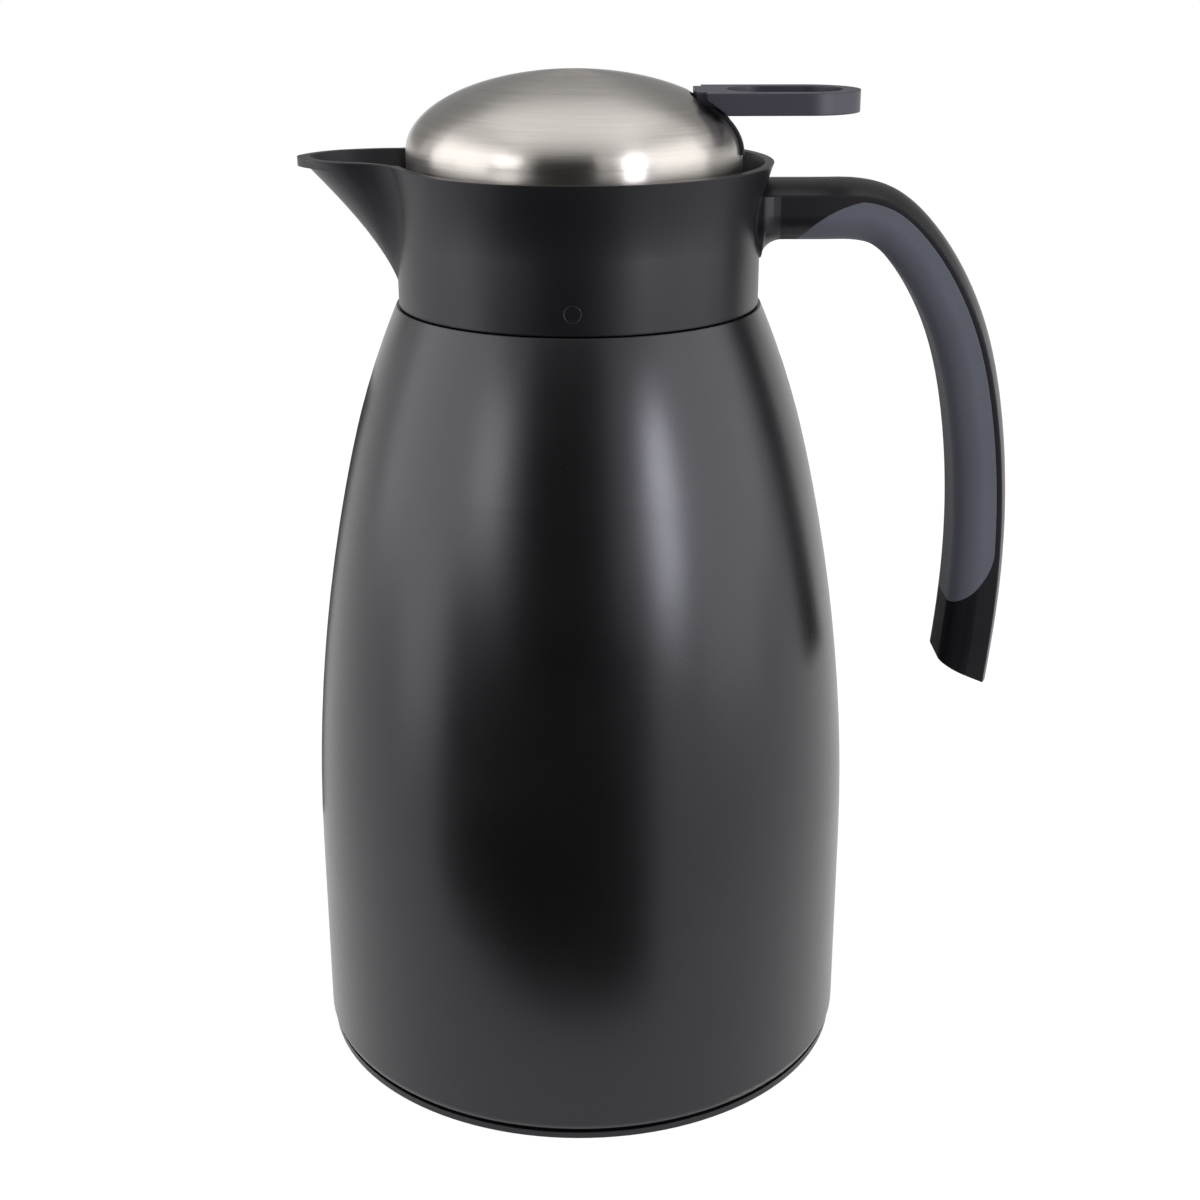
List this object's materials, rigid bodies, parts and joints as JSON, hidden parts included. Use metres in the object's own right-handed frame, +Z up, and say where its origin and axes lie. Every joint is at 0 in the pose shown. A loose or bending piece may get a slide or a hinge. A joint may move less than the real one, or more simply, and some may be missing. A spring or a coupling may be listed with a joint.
{
  "type": "thermal jug",
  "caption": "Insulated table jug with a steel shell, a pouring spout, an open-ended handle with a soft grip, and a domed lid with a thumb ring that opens its valve.",
  "frame": {"origin": "centre of the foot's underside, on the table, on the flask's axis", "axes": "+Z up the flask's axis, handle towards +X, spout towards -X, +Y to the side away from the picture's camera"},
  "size_m": [0.166, 0.1294, 0.2332],
  "materials": {
    "painted_steel": "matte black paint",
    "stainless": "brushed",
    "plain_steel": "plain rolled",
    "black_plastic": "satin black, fine texture",
    "grip_rubber": "soft touch, slate grey",
    "seal_rubber": "matte",
    "foot_rubber": "matte",
    "inner_plastic": "moulded"
  },
  "bodies": {
    "flask": {"outer_shell": "painted_steel", "inner_liner": "plain_steel", "vacuum_bottom": "plain_steel", "getter_cup": "plain_steel", "base_plate": "black_plastic", "base_pad": "foot_rubber", "neck_ring": "inner_plastic", "collar_gasket": "seal_rubber", "collar": "black_plastic", "handle_cover": "black_plastic", "grip_insert": "grip_rubber"},
    "stopper_carrier": {"stopper_gasket": "seal_rubber"},
    "stopper": {"stopper_body": "inner_plastic", "seat_ring": "inner_plastic", "lid_frame": "black_plastic", "steel_dome": "stainless", "lever_pin": "plain_steel", "lid_screws": "plain_steel", "stem_seal": "seal_rubber", "valve_spring": "plain_steel"},
    "lever": {"thumb_lever": "black_plastic"},
    "valve": {"valve_stem": "inner_plastic", "stem_cap": "inner_plastic", "valve_disc": "inner_plastic", "valve_seal": "seal_rubber"}
  },
  "joints": [
    {"name": "stopper_rise", "type": "slide", "parent": "flask", "child": "stopper_carrier", "axis": [0, 0, 1], "range_m": [0, 0.0121]},
    {"name": "stopper_turn", "type": "hinge", "parent": "stopper_carrier", "child": "stopper", "pos_m": [0, 0, 0.2], "axis": [0, 0, 1], "range_deg": [0, 540]},
    {"name": "lever_press", "type": "hinge", "parent": "stopper", "child": "lever", "pos_m": [0.0284, 0, 0.221], "axis": [0, 1, 0], "range_deg": [0, 12], "stiffness_Nm_per_rad": 0.48, "springref_deg": -5.73},
    {"name": "valve_travel", "type": "slide", "parent": "stopper", "child": "valve", "axis": [0, 0, 1], "range_m": [0, 0.0059], "deforming": ["valve_spring"]}
  ],
  "couplings": [
    {"joint": "stopper_rise", "follows": "stopper_turn", "m_per_rad": 0.0012732},
    {"joint": "lever_press", "follows": "valve_travel", "rad_per_m": 35.211}
  ]
}
